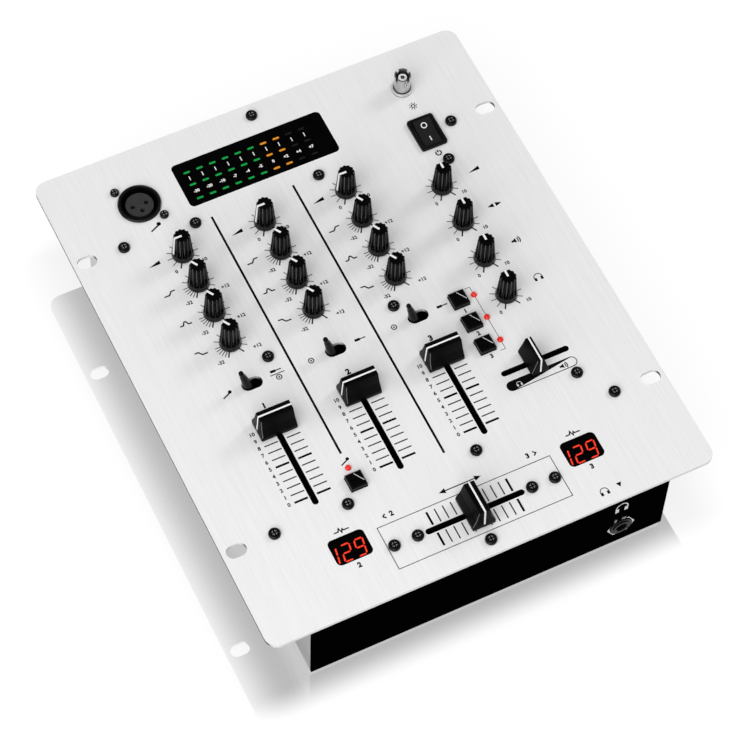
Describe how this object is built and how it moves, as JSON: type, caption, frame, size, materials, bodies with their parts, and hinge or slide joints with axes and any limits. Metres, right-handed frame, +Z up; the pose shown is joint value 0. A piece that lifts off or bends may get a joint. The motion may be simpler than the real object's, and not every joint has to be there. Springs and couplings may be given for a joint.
{
  "type": "dj mixer",
  "caption": "Desk mixer for record and media players: brushed face panel with knobs, faders, selector levers, push buttons, level meter and tempo displays on a low metal case.",
  "frame": {"origin": "centre of the footprint, on the plane the rubber feet stand on", "axes": "+X to the right as the user faces the panel, +Y to the rear, +Z up"},
  "size_m": [0.254, 0.305, 0.0775],
  "materials": {
    "panel": "fine brushed, clear anodised",
    "zinc": "bright zinc plated sheet",
    "black_paint": "satin black powder coat",
    "rubber": "matte moulded rubber",
    "black_steel": "black oxide, lightly oiled",
    "brass": "turned, unplated",
    "board": "green solder mask on glass laminate",
    "black_plastic": "moulded, fine texture",
    "knob_plastic": "satin moulded plastic",
    "white_plastic": "moulded insulator",
    "red_lens": "clear red epoxy, lit",
    "clear_lens": "tinted light bars",
    "smoked_lens": "smoked acrylic",
    "nickel": "bright nickel plate",
    "ribbon": "grey flat cable"
  },
  "bodies": {
    "case": {"board_standoffs": "brass", "button_switch_bodies": "black_plastic", "case_screws": "black_steel", "case_tray": "zinc", "crossfader_plate": "panel", "display_windows": "smoked_lens", "fader_bodies": "black_steel", "front_plate": "black_paint", "ground_terminals": "nickel", "lamp_socket": "nickel", "lamp_socket_insulator": "white_plastic", "lamp_socket_nut": "nickel", "main_board": "board", "meter_leds": "clear_lens", "mic_socket_insert": "black_plastic", "mic_socket_shell": "black_plastic", "panel_screws": "black_steel", "phones_jack": "nickel", "phones_nut": "nickel", "phono_jacks": "nickel", "pot_bodies": "zinc", "power_inlet": "black_plastic", "power_switch_housing": "black_plastic", "rear_board": "board", "rear_plate": "black_paint", "ribbon_cable": "ribbon", "rubber_feet": "rubber", "selector_switch_bodies": "black_plastic", "status_leds": "red_lens", "tempo_displays": "black_plastic", "top_panel": "panel"},
    "knob_gain_1": {"knob_gain_1": "knob_plastic"},
    "knob_high_1": {"knob_high_1": "knob_plastic"},
    "knob_mid_1": {"knob_mid_1": "knob_plastic"},
    "knob_low_1": {"knob_low_1": "knob_plastic"},
    "knob_gain_2": {"knob_gain_2": "knob_plastic"},
    "knob_high_2": {"knob_high_2": "knob_plastic"},
    "knob_mid_2": {"knob_mid_2": "knob_plastic"},
    "knob_low_2": {"knob_low_2": "knob_plastic"},
    "knob_gain_3": {"knob_gain_3": "knob_plastic"},
    "knob_high_3": {"knob_high_3": "knob_plastic"},
    "knob_mid_3": {"knob_mid_3": "knob_plastic"},
    "knob_low_3": {"knob_low_3": "knob_plastic"},
    "knob_master": {"knob_master": "knob_plastic"},
    "knob_balance": {"knob_balance": "knob_plastic"},
    "knob_booth": {"knob_booth": "knob_plastic"},
    "knob_cue_level": {"knob_cue_level": "knob_plastic"},
    "channel_fader_1": {"channel_fader_1": "knob_plastic"},
    "channel_fader_2": {"channel_fader_2": "knob_plastic"},
    "channel_fader_3": {"channel_fader_3": "knob_plastic"},
    "crossfader": {"crossfader": "knob_plastic"},
    "cue_mix_fader": {"cue_mix_fader": "knob_plastic"},
    "selector_lever_1": {"selector_lever_1": "knob_plastic"},
    "selector_lever_2": {"selector_lever_2": "knob_plastic"},
    "selector_lever_3": {"selector_lever_3": "knob_plastic"},
    "cue_button_1": {"cue_button_1": "knob_plastic"},
    "cue_button_2": {"cue_button_2": "knob_plastic"},
    "cue_button_3": {"cue_button_3": "knob_plastic"},
    "talk_button": {"talk_button": "knob_plastic"},
    "power_rocker": {"power_rocker": "knob_plastic"}
  },
  "joints": [
    {"name": "knob_gain_1_turn", "type": "hinge", "parent": "case", "child": "knob_gain_1", "pos_m": [-0.071, 0.078, 0.059], "axis": [0, 0, 1], "range_deg": [-240, 60]},
    {"name": "knob_high_1_turn", "type": "hinge", "parent": "case", "child": "knob_high_1", "pos_m": [-0.071, 0.0577, 0.059], "axis": [0, 0, 1], "range_deg": [-182, 118]},
    {"name": "knob_mid_1_turn", "type": "hinge", "parent": "case", "child": "knob_mid_1", "pos_m": [-0.071, 0.0374, 0.059], "axis": [0, 0, 1], "range_deg": [-182, 118]},
    {"name": "knob_low_1_turn", "type": "hinge", "parent": "case", "child": "knob_low_1", "pos_m": [-0.071, 0.0171, 0.059], "axis": [0, 0, 1], "range_deg": [-182, 118]},
    {"name": "knob_gain_2_turn", "type": "hinge", "parent": "case", "child": "knob_gain_2", "pos_m": [-0.02274, 0.078, 0.059], "axis": [0, 0, 1], "range_deg": [-240, 60]},
    {"name": "knob_high_2_turn", "type": "hinge", "parent": "case", "child": "knob_high_2", "pos_m": [-0.02274, 0.0577, 0.059], "axis": [0, 0, 1], "range_deg": [-182, 118]},
    {"name": "knob_mid_2_turn", "type": "hinge", "parent": "case", "child": "knob_mid_2", "pos_m": [-0.02274, 0.0374, 0.059], "axis": [0, 0, 1], "range_deg": [-182, 118]},
    {"name": "knob_low_2_turn", "type": "hinge", "parent": "case", "child": "knob_low_2", "pos_m": [-0.02274, 0.0171, 0.059], "axis": [0, 0, 1], "range_deg": [-182, 118]},
    {"name": "knob_gain_3_turn", "type": "hinge", "parent": "case", "child": "knob_gain_3", "pos_m": [0.02552, 0.078, 0.059], "axis": [0, 0, 1], "range_deg": [-240, 60]},
    {"name": "knob_high_3_turn", "type": "hinge", "parent": "case", "child": "knob_high_3", "pos_m": [0.02552, 0.0577, 0.059], "axis": [0, 0, 1], "range_deg": [-182, 118]},
    {"name": "knob_mid_3_turn", "type": "hinge", "parent": "case", "child": "knob_mid_3", "pos_m": [0.02552, 0.0374, 0.059], "axis": [0, 0, 1], "range_deg": [-182, 118]},
    {"name": "knob_low_3_turn", "type": "hinge", "parent": "case", "child": "knob_low_3", "pos_m": [0.02552, 0.0171, 0.059], "axis": [0, 0, 1], "range_deg": [-182, 118]},
    {"name": "knob_master_turn", "type": "hinge", "parent": "case", "child": "knob_master", "pos_m": [0.07378, 0.0581, 0.059], "axis": [0, 0, 1], "range_deg": [-150, 150]},
    {"name": "knob_balance_turn", "type": "hinge", "parent": "case", "child": "knob_balance", "pos_m": [0.07378, 0.03275, 0.059], "axis": [0, 0, 1], "range_deg": [-150, 150]},
    {"name": "knob_booth_turn", "type": "hinge", "parent": "case", "child": "knob_booth", "pos_m": [0.07378, 0.0074, 0.059], "axis": [0, 0, 1], "range_deg": [-150, 150]},
    {"name": "knob_cue_level_turn", "type": "hinge", "parent": "case", "child": "knob_cue_level", "pos_m": [0.07378, -0.01795, 0.059], "axis": [0, 0, 1], "range_deg": [-150, 150]},
    {"name": "channel_fader_1_slide", "type": "slide", "parent": "case", "child": "channel_fader_1", "axis": [0, 1, 0], "range_m": [-0.045, 0]},
    {"name": "channel_fader_2_slide", "type": "slide", "parent": "case", "child": "channel_fader_2", "axis": [0, 1, 0], "range_m": [-0.045, 0]},
    {"name": "channel_fader_3_slide", "type": "slide", "parent": "case", "child": "channel_fader_3", "axis": [0, 1, 0], "range_m": [-0.045, 0]},
    {"name": "crossfader_slide", "type": "slide", "parent": "case", "child": "crossfader", "axis": [1, 0, 0], "range_m": [-0.0225, 0.0225]},
    {"name": "cue_mix_fader_slide", "type": "slide", "parent": "case", "child": "cue_mix_fader", "axis": [1, 0, 0], "range_m": [-0.0138, 0.0162]},
    {"name": "selector_lever_1_tilt", "type": "hinge", "parent": "case", "child": "selector_lever_1", "pos_m": [-0.071, -0.01, 0.05], "axis": [0, 1, 0], "range_deg": [0, 29]},
    {"name": "selector_lever_2_tilt", "type": "hinge", "parent": "case", "child": "selector_lever_2", "pos_m": [-0.02274, -0.01, 0.05], "axis": [0, 1, 0], "range_deg": [0, 29]},
    {"name": "selector_lever_3_tilt", "type": "hinge", "parent": "case", "child": "selector_lever_3", "pos_m": [0.02552, -0.01, 0.05], "axis": [0, 1, 0], "range_deg": [0, 29]},
    {"name": "cue_button_1_press", "type": "slide", "parent": "case", "child": "cue_button_1", "axis": [0, 0, 1], "range_m": [-0.002, 0], "stiffness_N_per_m": 400, "springref_m": 0.0005},
    {"name": "cue_button_2_press", "type": "slide", "parent": "case", "child": "cue_button_2", "axis": [0, 0, 1], "range_m": [-0.002, 0], "stiffness_N_per_m": 400, "springref_m": 0.0005},
    {"name": "cue_button_3_press", "type": "slide", "parent": "case", "child": "cue_button_3", "axis": [0, 0, 1], "range_m": [-0.002, 0], "stiffness_N_per_m": 400, "springref_m": 0.0005},
    {"name": "talk_button_press", "type": "slide", "parent": "case", "child": "talk_button", "axis": [0, 0, 1], "range_m": [-0.002, 0], "stiffness_N_per_m": 400, "springref_m": 0.0005},
    {"name": "power_rocker_tilt", "type": "hinge", "parent": "case", "child": "power_rocker", "pos_m": [0.08225, 0.0935, 0.0585], "axis": [1, 0, 0], "range_deg": [-14, 0]}
  ]
}
